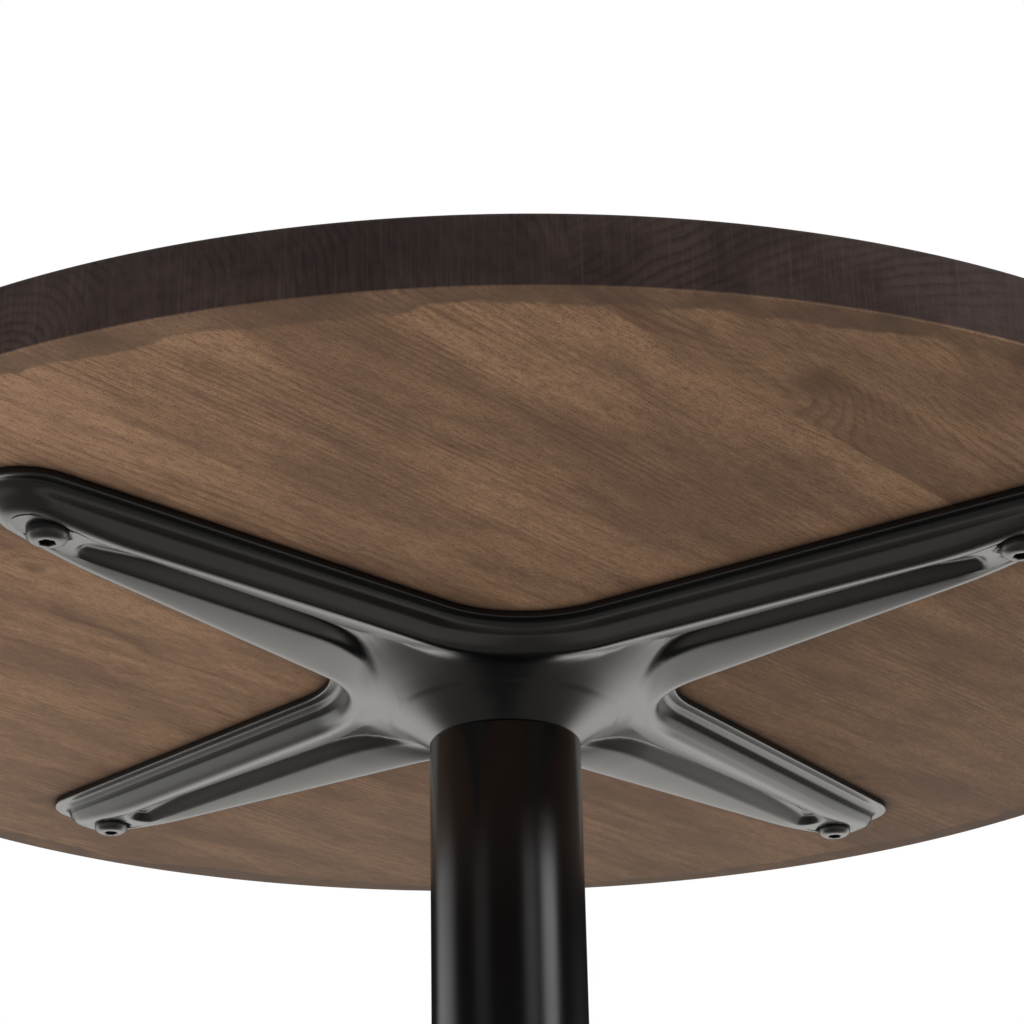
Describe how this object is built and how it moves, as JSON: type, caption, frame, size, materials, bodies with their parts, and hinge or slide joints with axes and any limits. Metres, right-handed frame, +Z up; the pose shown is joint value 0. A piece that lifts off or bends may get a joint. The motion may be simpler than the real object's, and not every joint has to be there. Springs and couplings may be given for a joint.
{
  "type": "pub table",
  "caption": "Round pub table: edge-glued wooden top on a pressed-steel spider, tube column and matching cross base with levelling glides.",
  "frame": {"origin": "on the floor under the column's axis, midway between the glides", "axes": "+Z up along the column, X and Y along the spider's and base's arms, boards along X"},
  "size_m": [0.61, 0.61, 1.055],
  "materials": {
    "stained_wood": "dark brown stain, satin",
    "black_steel": "satin black powder coat",
    "black_bolt": "black oxide",
    "zinc_steel": "zinc plated",
    "black_nylon": "matt moulded"
  },
  "bodies": {
    "table": {"top_board_1": "stained_wood", "top_board_2": "stained_wood", "top_board_3": "stained_wood", "top_board_4": "stained_wood", "threaded_inserts": "zinc_steel", "spider_bolts": "black_bolt", "spider_sleeves": "zinc_steel", "top_spider": "black_steel", "column": "black_steel", "tie_rod": "zinc_steel", "rod_top_washer": "zinc_steel", "rod_top_nut": "zinc_steel", "rod_bottom_washer": "zinc_steel", "rod_lock_washer": "zinc_steel", "rod_bottom_nut": "zinc_steel", "base_cross": "black_steel", "glide_bushes": "zinc_steel"},
    "stem_1": {"glide_stem_1": "zinc_steel"},
    "pad_1": {"glide_pad_1": "black_nylon"},
    "stem_2": {"glide_stem_2": "zinc_steel"},
    "pad_2": {"glide_pad_2": "black_nylon"},
    "stem_3": {"glide_stem_3": "zinc_steel"},
    "pad_3": {"glide_pad_3": "black_nylon"},
    "stem_4": {"glide_stem_4": "zinc_steel"},
    "pad_4": {"glide_pad_4": "black_nylon"}
  },
  "joints": [
    {"name": "glide_1_height", "type": "slide", "parent": "table", "child": "stem_1", "axis": [0, 0, -1], "range_m": [0, 0.01]},
    {"name": "glide_1_swivel", "type": "hinge", "parent": "stem_1", "child": "pad_1", "pos_m": [0.255, 0, 0.005], "axis": [0, 0, 1], "continuous": true},
    {"name": "glide_2_height", "type": "slide", "parent": "table", "child": "stem_2", "axis": [0, 0, -1], "range_m": [0, 0.01]},
    {"name": "glide_2_swivel", "type": "hinge", "parent": "stem_2", "child": "pad_2", "pos_m": [0, 0.255, 0.005], "axis": [0, 0, 1], "continuous": true},
    {"name": "glide_3_height", "type": "slide", "parent": "table", "child": "stem_3", "axis": [0, 0, -1], "range_m": [0, 0.01]},
    {"name": "glide_3_swivel", "type": "hinge", "parent": "stem_3", "child": "pad_3", "pos_m": [-0.255, 0, 0.005], "axis": [0, 0, 1], "continuous": true},
    {"name": "glide_4_height", "type": "slide", "parent": "table", "child": "stem_4", "axis": [0, 0, -1], "range_m": [0, 0.01]},
    {"name": "glide_4_swivel", "type": "hinge", "parent": "stem_4", "child": "pad_4", "pos_m": [0, -0.255, 0.005], "axis": [0, 0, 1], "continuous": true}
  ]
}
